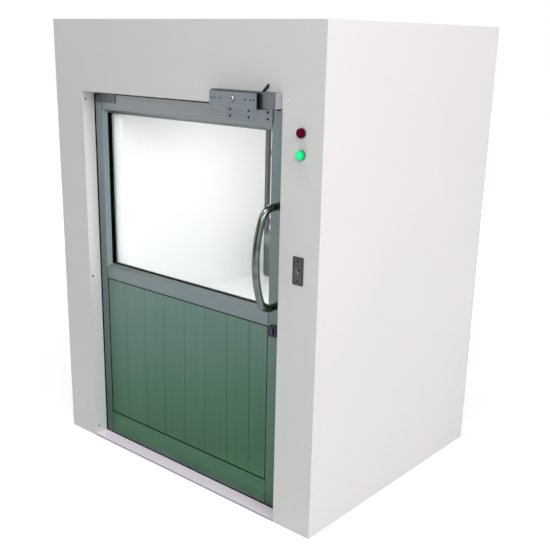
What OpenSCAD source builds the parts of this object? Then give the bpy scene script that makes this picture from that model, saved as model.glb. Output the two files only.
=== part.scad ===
// Floor-standing cleanroom pass box.
// A folded sheet cabinet carries a coved transfer chamber with a glazed door on
// each face.  The two faces are the same: the rear is the front turned half a
// turn about the vertical.  Millimetres, +Z up, the front faces -Y, and the
// origin is at the middle of the footprint on the floor.

/* [Cabinet] */
// Width of the cabinet
body_w = 1160; // [1060:10:1400]
// Depth of the cabinet from face to face
body_d = 945; // [700:5:1200]
// Height of the cabinet
body_h = 1500; // [1490:10:1800]
// Thickness of the folded sheet
sheet = 1.5; // [1:0.1:2]
// Height of the base pan, which is also the sill
base_h = 8; // [6:1:12]
// Distance between the stiffening ribs under the base pan
rib_pitch = 128; // [90:2:140]
// Width of the returns folded along the side and top panels
return_w = 22; // [12:1:40]

/* [Door opening] */
// Width of the columns beside the opening
column_w = 142; // [130:1:160]
// Height of the header over the opening
header_h = 230; // [130:5:235]
// Depth from the cabinet face to the door face
recess = 50; // [44:1:70]

/* [Chamber] */
// Distance of each chamber wall from the jamb
chamber_inset = 88; // [40:1:160]
// Height of the chamber floor above the ground
chamber_z = 480; // [300:10:510]
// Distance of the chamber ceiling below the header
chamber_drop = 60; // [40:1:160]
// Radius of the coved edges of the chamber
cove_r = 15; // [8:1:40]
// Length of the ceiling light
light_l = 460; // [200:10:600]
// Width of the ceiling light
light_w = 90; // [50:5:150]
// Height of the light housing above the ceiling
light_h = 30; // [20:1:50]

/* [Door leaf] */
// Thickness of the door leaf
door_t = 50; // [44:1:60]
// Gap between the leaf and each jamb
side_gap = 5; // [5:0.5:8]
// Gap between the leaf and the head
top_gap = 9; // [8:1:20]
// Gap between the leaf and the sill
bottom_gap = 4; // [2:0.5:10]
// Clearance of the leaf's turning heel from the bulkhead
heel_gap = 1; // [0.5:0.5:6]
// Gap between the closed leaf and the front edges of the chamber
seal_gap = 1; // [0.5:0.1:3]
// Face width of the hinge stile
hinge_stile_w = 32; // [30:1:60]
// Face width of the lock stile
lock_stile_w = 73; // [60:1:100]
// Face height of the top rail
top_rail_h = 50; // [46:1:90]
// Face height of the middle rail
mid_rail_h = 42; // [24:1:80]
// Face height of the bottom rail
bottom_rail_h = 83; // [60:1:140]
// Height of the slatted lower panel's bay
panel_h = 523; // [420:1:540]
// Wall of the hollow aluminium sections
section_wall = 2; // [1.2:0.1:3]

/* [Glazing] */
// Thickness of the glass
glass_t = 6; // [4:0.5:8]
// Depth of the glass behind the leaf's face
glass_in = 27; // [24:0.5:30]
// Width of the glazing bead, and of the fixed lip behind the glass
bead_w = 11.5; // [9:0.5:16]
// Thickness of the fixed lip behind the glass and the panel
lip_t = 3; // [2:0.5:5]
// Depth of the bead's sloping face
bead_slope = 15; // [8:0.5:16]
// Width of the gasket that shows beside the bead
gasket_show = 1; // [0.5:0.1:4]
// Thickness of the gasket under and behind the glass
gasket_t = 3; // [2:0.5:4]

/* [Slatted panel] */
// Width of one slat
slat_pitch = 98; // [60:1:120]
// Width of the cut slat beside the lock stile
slat_first = 75; // [40:1:98]
// Gap around the slatted panel
panel_gap = 4; // [1:0.5:6]
// Setback of the panel behind the leaf's face
panel_set = 1; // [0:0.5:4]
// Width of the groove between slats
groove_w = 2.5; // [2:0.5:6]
// Depth of the groove between slats
groove_d = 2; // [1:0.5:4]
// Wall of the hollow slats
slat_wall = 4.5; // [4:0.1:6]

/* [Pivots] */
// Distance of the pivot axis from the edge of the leaf
pivot_edge = 18; // [18:0.5:22]
// Distance of the pivot axis from the face of the leaf
pivot_face = 12; // [9:0.5:12]
// Diameter of the pivot pins
pin_d = 12; // [8:0.5:12]
// Radial clearance of the pins in their bearings
pin_fit = 0.05; // [0.02:0.01:0.1]
// Length of the angle on the top corner of the leaf
angle_l = 104; // [60:1:150]
// Height of that angle's front leg
angle_h = 30; // [20:1:40]
// Thickness of that angle
angle_t = 2.5; // [1.5:0.5:3]
// Height of the bearing block over the head
bearing_h = 14; // [8:1:30]

/* [Pull handle] */
// Diameter of the handle tube
handle_d = 22; // [16:1:25]
// Distance between the handle's feet
handle_span = 300; // [240:5:330]
// Distance from the leaf's face to the tube's centre at the crown
handle_reach = 103; // [85:1:120]
// Radius of the bowed grip
grip_r = 320; // [280:5:800]
// Radius of the handle's corners
bend_r = 50; // [30:1:60]
// Height of the handle's middle above the middle rail
handle_up = 180; // [180:1:260]
// Diameter of the collars at the handle's feet
collar_d = 27; // [26:0.5:34]
// Height of the collars
collar_h = 5; // [2:0.5:12]

/* [Door lock] */
// Width of the lock case
lock_w = 32; // [28:1:40]
// Height of the lock case
lock_h = 34; // [28:1:60]
// Distance of the lock's middle from the stile's inner edge
lock_in = 24; // [21:1:50]
// Projection of the lock case
lock_out = 8; // [4:0.5:12]
// Corner radius of the lock case
lock_r = 4; // [1:0.5:10]
// Distance of the lock's middle below the middle rail
lock_drop = 11; // [0:1:60]
// Diameter of the thumb turn
turn_d = 22; // [14:1:28]
// Height of the thumb turn's grip
turn_out = 13; // [6:0.5:20]
// Width of the thumb turn's grip
turn_w = 7; // [4:0.5:10]

/* [Magnetic lock] */
// Length of the magnet
magnet_l = 243; // [220:1:280]
// Height of the magnet
magnet_h = 43.5; // [41:0.5:60]
// Depth of the magnet
magnet_t = 27; // [20:1:40]
// Distance of the magnet's end from the jamb line
magnet_end = 2; // [0:1:30]
// Distance that the magnet hangs below the header's edge
magnet_drop = 2; // [0:0.5:2]
// Length of the armature plate
armature_l = 178; // [150:1:190]
// Height of the armature plate
armature_h = 38; // [32:1:38]
// Thickness of the armature plate
armature_t = 11; // [8:0.5:14]
// Gap between the magnet and the armature
armature_gap = 0.5; // [0.3:0.1:1]
// Distance of the armature's middle from the magnet's, towards the hinge
armature_shift = 24.5; // [0:0.5:30]
// Distance of the bracket's foot from the armature's middle, towards the hinge
foot_shift = 18; // [0:1:30]
// Width of the bracket's foot on the top rail
foot_w = 182; // [170:1:200]
// Height of the bracket's foot and of its upright
flange_h = 44.5; // [43:0.5:46]
// Thickness of the bracket
bracket_t = 3; // [2:0.5:3.5]
// Gap between the bracket's shelf and the head
shelf_gap = 4; // [3.5:0.5:5]
// Diameter of the dome bolt's head
dome_d = 17; // [12:0.5:22]
// Diameter of the magnet's lead
lead_d = 8; // [5:0.5:10]
// Distance of the lead from the magnet's end
lead_in = 50; // [20:1:100]
// Distance of the lead behind the magnet's face where it leaves the magnet
lead_set = 7; // [6:1:10]
// Height above the magnet at which the lead enters the header
lead_rise = 16; // [12:1:30]

/* [Lamps and release button] */
// Height of the red lamp above the floor
lamp_z = 1210; // [1100:1:1300]
// Distance from the red lamp down to the green lamp
lamp_pitch = 59; // [40:1:100]
// Diameter of the lamp bezels
bezel_d = 28; // [27:0.5:34]
// Diameter of the lamps' panel holes
lamp_hole_d = 22; // [18:0.5:24]
// Diameter of the lamps' lenses
lens_d = 26; // [18:0.5:26]
// Projection of the lamps
lamp_out = 14; // [10:0.5:18]
// Width of the release plate
plate_w = 38; // [30:1:60]
// Height of the release plate
plate_h = 82; // [60:1:120]
// Thickness of the release plate
plate_t = 2; // [1.5:0.5:4]
// Corner radius of the release plate
plate_r = 3; // [1:0.5:8]
// Height of the release plate's middle above the floor
plate_z = 828; // [700:1:1000]
// Diameter of the release button
button_d = 16; // [10:0.5:19]
// Projection of the release button
button_out = 4; // [3:0.5:6]
// Travel of the release button
button_travel = 2.5; // [1:0.5:2.5]
// Radial clearance of the button and of the thumb turn
turn_fit = 0.1; // [0.05:0.01:0.1]

/* [Hidden] */
$fn = 64;

// Cuts run past the faces that they pierce by this much
over = 1;

// Opening in the face, and the face itself
face_y = -body_d / 2;
open_w = body_w - 2 * column_w;
head_z = body_h - header_h;
column_x = (open_w + column_w) / 2;

// Leaf, closed
leaf_y = face_y + recess;
leaf_x0 = -open_w / 2 + side_gap;
leaf_x1 = open_w / 2 - side_gap;
leaf_z0 = base_h + bottom_gap;
leaf_z1 = head_z - top_gap;

// Bays between the stiles and rails
bay_x0 = leaf_x0 + hinge_stile_w;
bay_x1 = leaf_x1 - lock_stile_w;
panel_z0 = leaf_z0 + bottom_rail_h;
panel_z1 = panel_z0 + panel_h;
glass_z0 = panel_z1 + mid_rail_h;
glass_z1 = leaf_z1 - top_rail_h;

// Depths into the leaf: front of the fixed lip, and glass edge inside the bay
lip_in = glass_in + glass_t + gasket_t;
glass_edge = gasket_t + 1;

// Pivot axis
pivot_x = leaf_x0 + pivot_edge;
pivot_y = leaf_y + pivot_face;
bearing_d = pin_d + 2 * pin_fit;
bearing_w = 2 * pivot_edge;
washer_d = 24;
washer_gap = 0.3;
plug_h = 40;
plug_fit = 0.2;
tip_gap = 1;

// The bulkhead stands clear of the circle that the leaf's heel turns on
heel_r = sqrt(pow(pivot_edge, 2) + pow(door_t - pivot_face, 2));
bulkhead_y = pivot_y + heel_r + heel_gap;

// Chamber
chamber_w = open_w - 2 * chamber_inset;
chamber_y = leaf_y + door_t + seal_gap;
chamber_top = head_z - chamber_drop;
chamber_h = chamber_top - chamber_z;
shell_r = cove_r + sheet;
diffuser_fit = 0.5;
light_lip = 8;

// Magnetic lock
magnet_x1 = open_w / 2 - magnet_end;
magnet_x = magnet_x1 - magnet_l / 2;
magnet_z0 = head_z - magnet_drop;
magnet_z = magnet_z0 + magnet_h / 2;
armature_x = magnet_x - armature_shift;
armature_y = face_y - magnet_t - armature_gap - armature_t;
shelf_z = head_z - shelf_gap;
armature_z = shelf_z + flange_h / 2;
foot_x = armature_x - foot_shift;
bracket_hole_d = 5;
bracket_hole_in = [9, 21, 41];
dome_h = 7;
bolt_d = 8;
lead_out = magnet_t - lead_set;
core_margin = 4;
core_groove = 1.2;
end_slot = [2, 2, 8];
end_slot_in = 3;
end_slots = 3;

// Handle, lock, lamps and button
handle_x = (bay_x1 + leaf_x1) / 2;
handle_z = glass_z0 + handle_up;
tube_wall = 2;
spigot_l = 4;
lock_x = bay_x1 + lock_in;
lock_z = panel_z1 - lock_drop;
turn_inset = 0.5;
bezel_h = 5;
lens_dome = 3;
lamp_body = 32;
lamp_fit = 0.3;
turn_base = 3;
barrel_wall = 4;
barrel_l = 22;
button_l = 12;

// ---------------------------------------------------------------- helpers

// The rear of the box is the front turned half a turn
module rear() {
    rotate([0, 0, 180])
        children();
}

// Box between two corners
module block(low, high) {
    translate(low)
        cube(high - low);
}

// Rounded rectangle about its middle
module rounded_rect(w, h, r) {
    square([w - 2 * r, h], center = true);
    square([w, h - 2 * r], center = true);
    for (x = [-1, 1], y = [-1, 1])
        translate([x * (w / 2 - r), y * (h / 2 - r)])
            circle(r);
}

// A flat shape drawn in X and Z, standing from depth y0 to depth y1
module upright(y0, y1) {
    translate([0, y1, 0])
        rotate([90, 0, 0])
            linear_extrude(y1 - y0)
                children();
}

// A round shape that points out of the front face, its foot at depth y
module facing(x, y, z) {
    translate([x, y, z])
        rotate([90, 0, 0])
            children();
}

// ---------------------------------------------------------------- cabinet

// Plan of the base pan, drawn in by i: it fills the footprint inside the skin
// and comes out flush with both faces between the columns
module pan_plan(i) {
    square([body_w - 2 * sheet - 2 * i, body_d - 2 * sheet - 2 * i], center = true);
    square([open_w - 2 * i, body_d - 2 * i], center = true);
}

// Inverted tray with ribs and a bearing for the bottom pin of each door
module base_pan() {
    ribs = 2 * floor((body_w / 2 - return_w) / rib_pitch) + 1;
    color([0.86, 0.85, 0.86])
        difference() {
            union() {
                translate([0, 0, base_h - sheet])
                    linear_extrude(sheet)
                        pan_plan(0);
                linear_extrude(base_h)
                    difference() {
                        pan_plan(0);
                        pan_plan(sheet);
                    }
                for (i = [0 : ribs - 1])
                    translate([(i - (ribs - 1) / 2) * rib_pitch, 0, base_h / 2])
                        cube([2 * sheet, body_d - 3 * sheet, base_h], center = true);
                for (turn = [0, 180])
                    rotate([0, 0, turn])
                        translate([pivot_x, pivot_y, 0])
                            cylinder(d = 2 * bearing_d, h = base_h);
            }
            for (turn = [0, 180])
                rotate([0, 0, turn])
                    translate([pivot_x, pivot_y, -over])
                        cylinder(d = bearing_d, h = base_h + 2 * over);
        }
}

// Side panel with a return folded in behind each fascia
module right_side() {
    x = body_w / 2;
    y = body_d / 2 - sheet;
    color([0.93, 0.92, 0.92]) {
        block([x - sheet, -y, 0], [x, y, body_h]);
        for (end = [0, 1])
            mirror([0, end, 0])
                block([x - return_w, y - sheet, base_h], [x, y, body_h - return_w]);
    }
}

// Lid with its four edges folded down inside the skin
module top_panel() {
    w = body_w - 2 * sheet;
    d = body_d - 2 * sheet;
    color([0.9, 0.9, 0.9]) {
        translate([0, 0, body_h - sheet])
            linear_extrude(sheet)
                square([w, d], center = true);
        translate([0, 0, body_h - return_w])
            linear_extrude(return_w)
                difference() {
                    square([w, d], center = true);
                    square([w - 2 * sheet, d - 2 * sheet], center = true);
                }
    }
}

// Face sheet: two columns and the header, with the holes for what it carries
module fascia() {
    color([0.78, 0.79, 0.79])
        difference() {
            upright(face_y, face_y + sheet)
                difference() {
                    translate([-body_w / 2, 0])
                        square([body_w, body_h]);
                    translate([-open_w / 2, -over])
                        square([open_w, head_z + over]);
                }
            for (z = [lamp_z, lamp_z - lamp_pitch])
                facing(column_x, face_y + sheet + over, z)
                    cylinder(d = lamp_hole_d + 2 * lamp_fit, h = sheet + 2 * over);
            facing(column_x, face_y + sheet + over, plate_z)
                cylinder(d = button_d + 2 * (barrel_wall + lamp_fit), h = sheet + 2 * over);
        }
}

// Folded lining of the recess, with the bearing block of the door's top pin
module reveal() {
    y0 = face_y + sheet;
    y1 = bulkhead_y + sheet;
    half = open_w / 2;
    color([0.8, 0.81, 0.81])
        difference() {
            union() {
                for (x = [-half - sheet, half])
                    block([x, y0, base_h], [x + sheet, y1, head_z]);
                block([-half - sheet, y0, head_z], [half + sheet, y1, head_z + sheet]);
                translate([pivot_x, pivot_y, head_z + bearing_h / 2])
                    cube([bearing_w, bearing_w, bearing_h], center = true);
            }
            translate([pivot_x, pivot_y, head_z - over])
                cylinder(d = bearing_d, h = bearing_h + 2 * over);
        }
}

// Plate behind the leaf that closes the recess around the chamber's mouth
module bulkhead() {
    color([0.9, 0.9, 0.9])
        upright(bulkhead_y, bulkhead_y + sheet)
            difference() {
                translate([-open_w / 2, base_h])
                    square([open_w, head_z - base_h]);
                translate([0, chamber_z + chamber_h / 2])
                    rounded_rect(chamber_w + 2 * sheet, chamber_h + 2 * sheet, shell_r);
            }
}

// ---------------------------------------------------------------- chamber

// The chamber's sheet shell between heights z0 and z1, kept from x0 to x1
module shell_part(x0, x1, z0, z1) {
    upright(chamber_y, -chamber_y)
        intersection() {
            translate([0, chamber_z + chamber_h / 2])
                difference() {
                    rounded_rect(chamber_w + 2 * sheet, chamber_h + 2 * sheet, shell_r);
                    rounded_rect(chamber_w, chamber_h, cove_r);
                }
            translate([x0, z0])
                square([x1 - x0, z1 - z0]);
        }
}

module chamber_floor() {
    half = chamber_w / 2 + sheet;
    color([0.92, 0.92, 0.93])
        shell_part(-half, half, chamber_z - sheet, chamber_z + cove_r);
}

module chamber_left_wall() {
    half = chamber_w / 2 + sheet;
    color([0.94, 0.94, 0.94])
        shell_part(-half, 0, chamber_z + cove_r, chamber_top - cove_r);
}

module chamber_right_wall() {
    half = chamber_w / 2 + sheet;
    color([0.94, 0.94, 0.94])
        shell_part(0, half, chamber_z + cove_r, chamber_top - cove_r);
}

// Ceiling with the cut-out of the light
module chamber_ceiling() {
    half = chamber_w / 2 + sheet;
    color([0.94, 0.94, 0.94])
        difference() {
            shell_part(-half, half, chamber_top - cove_r, chamber_top + sheet);
            translate([0, 0, chamber_top])
                cube([light_w, light_l, 4 * sheet], center = true);
        }
}

// Light: its diffuser fills the cut-out and its housing stands on the ceiling
module chamber_light() {
    color([0.97, 0.98, 1]) {
        translate([0, 0, chamber_top])
            linear_extrude(sheet)
                square([light_w - 2 * diffuser_fit, light_l - 2 * diffuser_fit], center = true);
        translate([0, 0, chamber_top + sheet])
            linear_extrude(light_h)
                square([light_w + 2 * light_lip, light_l + 2 * light_lip], center = true);
    }
}

// ---------------------------------------------------------------- door leaf

// Hollow section between two corners, open along the axis named by along
module hollow_section(low, high, along) {
    wall = [for (i = [0 : 2]) i == along ? -over : section_wall];
    difference() {
        block(low, high);
        block(low + wall, high - wall);
    }
}

// Fixed lip behind the glass or the panel, between two corners in X and Z
module lip(x0, z0, x1, z1) {
    block([x0, leaf_y + lip_in, z0], [x1, leaf_y + lip_in + lip_t, z1]);
}

// Stile with a lip along each bay; the lips run from x0 to x1
module stile(x0, x1, lip_x0, lip_x1) {
    color([0.5, 0.54, 0.54]) {
        hollow_section([x0, leaf_y, leaf_z0], [x1, leaf_y + door_t, leaf_z1], 2);
        lip(lip_x0, panel_z0, lip_x1, panel_z1);
        lip(lip_x0, glass_z0, lip_x1, glass_z1);
    }
}

module hinge_stile() {
    stile(leaf_x0, bay_x0, bay_x0, bay_x0 + bead_w);
}

module lock_stile() {
    stile(bay_x1, leaf_x1, bay_x1 - bead_w, bay_x1);
}

// Rail between heights z0 and z1; its lips stand below and above as asked
module rail(z0, z1, below, above) {
    color([0.5, 0.54, 0.54]) {
        hollow_section([bay_x0, leaf_y, z0], [bay_x1, leaf_y + door_t, z1], 0);
        lip(bay_x0 + bead_w, z0 - below, bay_x1 - bead_w, z1 + above);
    }
}

module top_rail() {
    rail(glass_z1, leaf_z1, bead_w, 0);
}

module mid_rail() {
    rail(panel_z1, glass_z0, bead_w, bead_w);
}

module bottom_rail() {
    rail(leaf_z0, panel_z0, 0, bead_w);
}

// A mitred frame that lines the glass bay.  The child is its section: X runs
// into the bay from its edge and Y runs into the leaf from its face.
module mitred_frame() {
    w = bay_x1 - bay_x0;
    h = glass_z1 - glass_z0;
    translate([bay_x0 + w / 2, leaf_y, glass_z0 + h / 2])
        for (side = [[0, w, h], [90, h, w], [180, w, h], [270, h, w]])
            rotate([0, side[0], 0])
                intersection() {
                    translate([-side[1] / 2, 0, side[2] / 2])
                        rotate([0, 90, 0])
                            linear_extrude(side[1])
                                children();
                    upright(-over, door_t + over)
                        polygon([
                            [-side[1] / 2, side[2] / 2],
                            [side[1] / 2, side[2] / 2],
                            [side[1] / 2 - side[2] / 2, 0],
                            [side[2] / 2 - side[1] / 2, 0]
                        ]);
                }
}

// Beads with a sloping face, mitred at the corners
module glazing_beads() {
    color([0.6, 0.63, 0.63])
        mitred_frame()
            polygon([
                [0, 0],
                [bead_w, bead_slope],
                [bead_w, glass_in - gasket_t],
                [0, glass_in - gasket_t]
            ]);
}

// Channel gasket: a lip beside the bead, a web past the glass edge, a rear leg
module glazing_gasket() {
    front = glass_in - gasket_t;
    web = glass_edge - gasket_t;
    color([0.04, 0.04, 0.045])
        mitred_frame()
            polygon([
                [web, front],
                [bead_w, front],
                [bead_w, bead_slope],
                [bead_w + gasket_show, bead_slope + gasket_show],
                [bead_w + gasket_show, glass_in],
                [glass_edge, glass_in],
                [glass_edge, glass_in + glass_t],
                [bead_w, glass_in + glass_t],
                [bead_w, lip_in],
                [web, lip_in]
            ]);
}

module glass() {
    y = leaf_y + glass_in;
    color([0.85, 0.9, 0.9, 0.3])
        block([bay_x0 + glass_edge, y, glass_z0 + glass_edge],
            [bay_x1 - glass_edge, y + glass_t, glass_z1 - glass_edge]);
}

// Hollow slats side by side, with a V groove over each joint on both faces
module slat_panel() {
    x0 = bay_x0 + panel_gap;
    x1 = bay_x1 - panel_gap;
    y0 = leaf_y + panel_set;
    y1 = leaf_y + lip_in;
    first = bay_x1 - slat_first;
    joints = [for (x = [first : -slat_pitch : x0 + groove_w]) x];
    edges = concat([x1], joints, [x0]);
    color([0.36, 0.5, 0.43])
        translate([0, 0, panel_z0 + panel_gap])
            linear_extrude(panel_h - 2 * panel_gap)
                difference() {
                    translate([x0, y0])
                        square([x1 - x0, y1 - y0]);
                    for (x = joints, y = [y0, y1])
                        translate([x, y])
                            polygon([
                                [groove_w / 2, 0],
                                [0, groove_d],
                                [-groove_w / 2, 0],
                                [0, -groove_d]
                            ]);
                    for (i = [0 : len(edges) - 2])
                        if (edges[i] - edges[i + 1] > 3 * slat_wall)
                            translate([edges[i + 1] + slat_wall, y0 + slat_wall])
                                square([edges[i] - edges[i + 1] - 2 * slat_wall,
                                    y1 - y0 - 2 * slat_wall]);
                }
}

// ---------------------------------------------------------------- pivots

// Angle over the leaf's top corner, with the pin that turns in the head
module top_pivot() {
    x0 = leaf_x0 + angle_t;
    top = leaf_z1 + angle_t;
    color([0.36, 0.38, 0.38]) {
        block([x0, leaf_y - angle_t, top - angle_h], [x0 + angle_l, leaf_y, top]);
        block([x0, leaf_y - angle_t, leaf_z1], [x0 + angle_l, leaf_y + door_t / 2, top]);
        translate([pivot_x, pivot_y, leaf_z1])
            cylinder(d = pin_d, h = top_gap + bearing_h - tip_gap);
    }
}

// Plug in the foot of the hinge stile, with a thrust washer and its pin
module bottom_pivot() {
    gap = section_wall + plug_fit;
    color([0.36, 0.38, 0.38]) {
        block([leaf_x0 + gap, leaf_y + gap, leaf_z0],
            [bay_x0 - gap, leaf_y + door_t - gap, leaf_z0 + plug_h]);
        translate([pivot_x, pivot_y, base_h + washer_gap])
            cylinder(d = washer_d, h = bottom_gap - washer_gap);
        translate([pivot_x, pivot_y, tip_gap])
            cylinder(d = pin_d, h = leaf_z0 - tip_gap);
    }
}

// ---------------------------------------------------------------- handle

// Arc of tube in the plane of X and Y, from angle a to angle b about the centre
module tube_arc(radius, a, b) {
    rotate(a)
        rotate_extrude(angle = b - a)
            translate([radius, 0])
                circle(d = handle_d);
}

// Spigot inside the joint between two lengths of tube, at angle a of an arc
module spigot(radius, a) {
    rotate(a)
        translate([radius, 0])
            rotate([90, 0, 0])
                cylinder(d = handle_d - 2 * tube_wall, h = spigot_l, center = true);
}

// Bow handle.  The grip is an arc, each corner is a tighter arc that meets it
// and the straight leg without a kink, and each leg ends in a collar.
module pull_handle() {
    bend_z = handle_span / 2 - bend_r;
    sweep = asin(bend_z / (grip_r - bend_r));
    grip_c = handle_reach - grip_r;
    bend_c = grip_c + (grip_r - bend_r) * cos(sweep);
    color([0.75, 0.76, 0.76])
        translate([handle_x, leaf_y, handle_z])
            rotate([0, 90, 0])
                rotate([0, 0, -90]) {
                    translate([grip_c, 0])
                        tube_arc(grip_r, -sweep, sweep);
                    for (side = [0, 1])
                        mirror([0, side, 0]) {
                            translate([bend_c, bend_z]) {
                                tube_arc(bend_r, sweep, 90);
                                spigot(bend_r, sweep);
                                spigot(bend_r, 90);
                            }
                            translate([0, handle_span / 2, 0])
                                rotate([0, 90, 0]) {
                                    cylinder(d = handle_d, h = bend_c);
                                    cylinder(d = collar_d, h = collar_h);
                                }
                        }
                }
}

// ---------------------------------------------------------------- door lock

module lock_case() {
    color([0.16, 0.17, 0.22])
        difference() {
            upright(leaf_y - lock_out, leaf_y)
                translate([lock_x, lock_z])
                    rounded_rect(lock_w, lock_h, lock_r);
            facing(lock_x, leaf_y - turn_base, lock_z)
                cylinder(d = turn_d + 2 * turn_fit, h = lock_out);
        }
}

// Thumb turn: a disc in the case's bore with an upright grip across it
module lock_turn() {
    grip = sqrt(turn_d * turn_d - turn_w * turn_w) - 2 * turn_inset;
    color([0.45, 0.46, 0.5]) {
        facing(lock_x, leaf_y - turn_base, lock_z)
            cylinder(d = turn_d, h = lock_out - turn_base);
        translate([lock_x, leaf_y - lock_out - (turn_out - lock_out) / 2, lock_z])
            cube([turn_w, turn_out - lock_out, grip], center = true);
    }
}

// ---------------------------------------------------------------- magnetic lock

// Magnet housing on the header, with a groove around the core in its face
module magnet() {
    y = face_y - magnet_t;
    core_l = armature_l;
    core_h = magnet_h - 2 * core_margin;
    color([0.62, 0.64, 0.65])
        difference() {
            block([magnet_x1 - magnet_l, y, magnet_z0],
                [magnet_x1, face_y, magnet_z0 + magnet_h]);
            upright(y - over, y + core_groove)
                translate([armature_x, magnet_z])
                    difference() {
                        square([core_l + core_groove, core_h + core_groove], center = true);
                        square([core_l - core_groove, core_h - core_groove], center = true);
                    }
            for (i = [1 : end_slots], x = [magnet_x1, magnet_x1 - magnet_l])
                translate([x, face_y - end_slot_in, magnet_z0 + i * magnet_h / (end_slots + 1)])
                    cube([2 * end_slot.x, end_slot.y, end_slot.z], center = true);
        }
}

// Lead: it leans back from the top of the magnet into the header, and is cut
// off flush with both
module magnet_lead() {
    slope = atan(lead_out / lead_rise);
    run = norm([lead_out, lead_rise]);
    color([0.03, 0.03, 0.03])
        translate([magnet_x1 - lead_in, face_y, magnet_z0 + magnet_h])
            intersection() {
                translate([0, -lead_out, 0])
                    rotate([-slope, 0, 0])
                        translate([0, 0, -run])
                            cylinder(d = lead_d, h = 3 * run);
                block([-lead_d, -magnet_t, 0], [lead_d, 0, 3 * lead_rise]);
            }
}

// Bracket on the top rail: a foot, a shelf under the header and an upright
module armature_bracket() {
    y0 = armature_y - bracket_t;
    half = armature_l / 2;
    foot = foot_w / 2;
    color([0.66, 0.67, 0.68])
        difference() {
            union() {
                block([armature_x - half, y0, shelf_z - bracket_t],
                    [armature_x + half, y0 + bracket_t, shelf_z - bracket_t + flange_h]);
                block([armature_x - half, y0, shelf_z - bracket_t],
                    [armature_x + half, leaf_y, shelf_z]);
                block([foot_x - foot, leaf_y - bracket_t, shelf_z - flange_h],
                    [foot_x + foot, leaf_y, shelf_z]);
            }
            for (x = bracket_hole_in, s = [-1, 1])
                facing(armature_x + s * (half - x), y0 + bracket_t + over, armature_z)
                    cylinder(d = bracket_hole_d, h = bracket_t + 2 * over);
            facing(armature_x, y0 + bracket_t + over, armature_z)
                cylinder(d = bolt_d, h = bracket_t + 2 * over);
        }
}

// Armature plate behind the upright, held by one bolt at its middle
module armature() {
    half = armature_l / 2;
    color([0.3, 0.31, 0.32])
        difference() {
            block([armature_x - half, armature_y, armature_z - armature_h / 2],
                [armature_x + half, armature_y + armature_t, armature_z + armature_h / 2]);
            facing(armature_x, armature_y + armature_t / 2, armature_z)
                cylinder(d = bolt_d, h = armature_t);
        }
}

// Dome bolt through the upright and into the armature
module armature_bolt() {
    seat = armature_y - bracket_t;
    cap_r = (dome_d * dome_d / 4 + dome_h * dome_h) / (2 * dome_h);
    color([0.85, 0.86, 0.87]) {
        facing(armature_x, armature_y + armature_t / 2, armature_z)
            cylinder(d = bolt_d, h = armature_t / 2 + bracket_t);
        facing(armature_x, seat, armature_z)
            rotate_extrude()
                intersection() {
                    translate([0, dome_h - cap_r])
                        circle(cap_r);
                    square([dome_d / 2, dome_h]);
                }
    }
}

// ---------------------------------------------------------------- lamps and button

// Pilot lamp: bezel, domed lens, and a body through the panel
module lamp(z, tint) {
    cap_r = (lens_d * lens_d / 4 + lens_dome * lens_dome) / (2 * lens_dome);
    color(tint)
        facing(column_x, face_y, z)
            rotate_extrude() {
                square([bezel_d / 2, bezel_h]);
                square([lens_d / 2, lamp_out - lens_dome]);
                translate([0, -lamp_body])
                    square([lamp_hole_d / 2, lamp_body]);
                intersection() {
                    translate([0, lamp_out - cap_r])
                        circle(cap_r);
                    square([lens_d / 2, lamp_out]);
                }
            }
}

module red_lamp() {
    lamp(lamp_z, [0.4, 0.05, 0.1]);
}

module green_lamp() {
    lamp(lamp_z - lamp_pitch, [0.1, 0.85, 0.5]);
}

// Release plate with the closed barrel that guides its button
module release_plate() {
    bore_d = button_d + 2 * turn_fit;
    color([0.42, 0.42, 0.42])
        difference() {
            union() {
                upright(face_y - plate_t, face_y)
                    translate([column_x, plate_z])
                        rounded_rect(plate_w, plate_h, plate_r);
                facing(column_x, face_y + barrel_l, plate_z)
                    cylinder(d = button_d + 2 * barrel_wall, h = barrel_l);
            }
            facing(column_x, face_y + barrel_l - barrel_wall, plate_z)
                cylinder(d = bore_d, h = barrel_l + plate_t);
        }
}

// Button with a low dome
module release_button() {
    rim = face_y - plate_t;
    edge = button_out / 2;
    cap_h = button_out - edge;
    cap_r = (button_d * button_d / 4 + cap_h * cap_h) / (2 * cap_h);
    color([0.7, 0.71, 0.72])
        facing(column_x, rim, plate_z)
            rotate_extrude() {
                translate([0, -button_l])
                    square([button_d / 2, button_l + edge]);
                intersection() {
                    translate([0, button_out - cap_r])
                        circle(cap_r);
                    square([button_d / 2, button_out]);
                }
            }
}

// ---------------------------------------------------------------- assembly

base_pan();
rear() right_side();  // left_side
right_side();
top_panel();
chamber_floor();
chamber_left_wall();
chamber_right_wall();
chamber_ceiling();
chamber_light();

fascia();  // front_fascia
reveal();  // front_reveal
bulkhead();  // front_bulkhead
hinge_stile();  // front_hinge_stile
lock_stile();  // front_lock_stile
top_rail();  // front_top_rail
mid_rail();  // front_mid_rail
bottom_rail();  // front_bottom_rail
glass();  // front_glass
glazing_beads();  // front_glazing_beads
glazing_gasket();  // front_glazing_gasket
slat_panel();  // front_slat_panel
top_pivot();  // front_top_pivot
bottom_pivot();  // front_bottom_pivot
pull_handle();  // front_pull_handle
lock_case();  // front_lock_case
lock_turn();  // front_lock_turn
armature_bracket();  // front_armature_bracket
armature();  // front_armature
armature_bolt();  // front_armature_bolt
magnet();  // front_magnet
magnet_lead();  // front_magnet_lead
red_lamp();  // front_red_lamp
green_lamp();  // front_green_lamp
release_plate();  // front_release_plate
release_button();  // front_release_button

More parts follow.
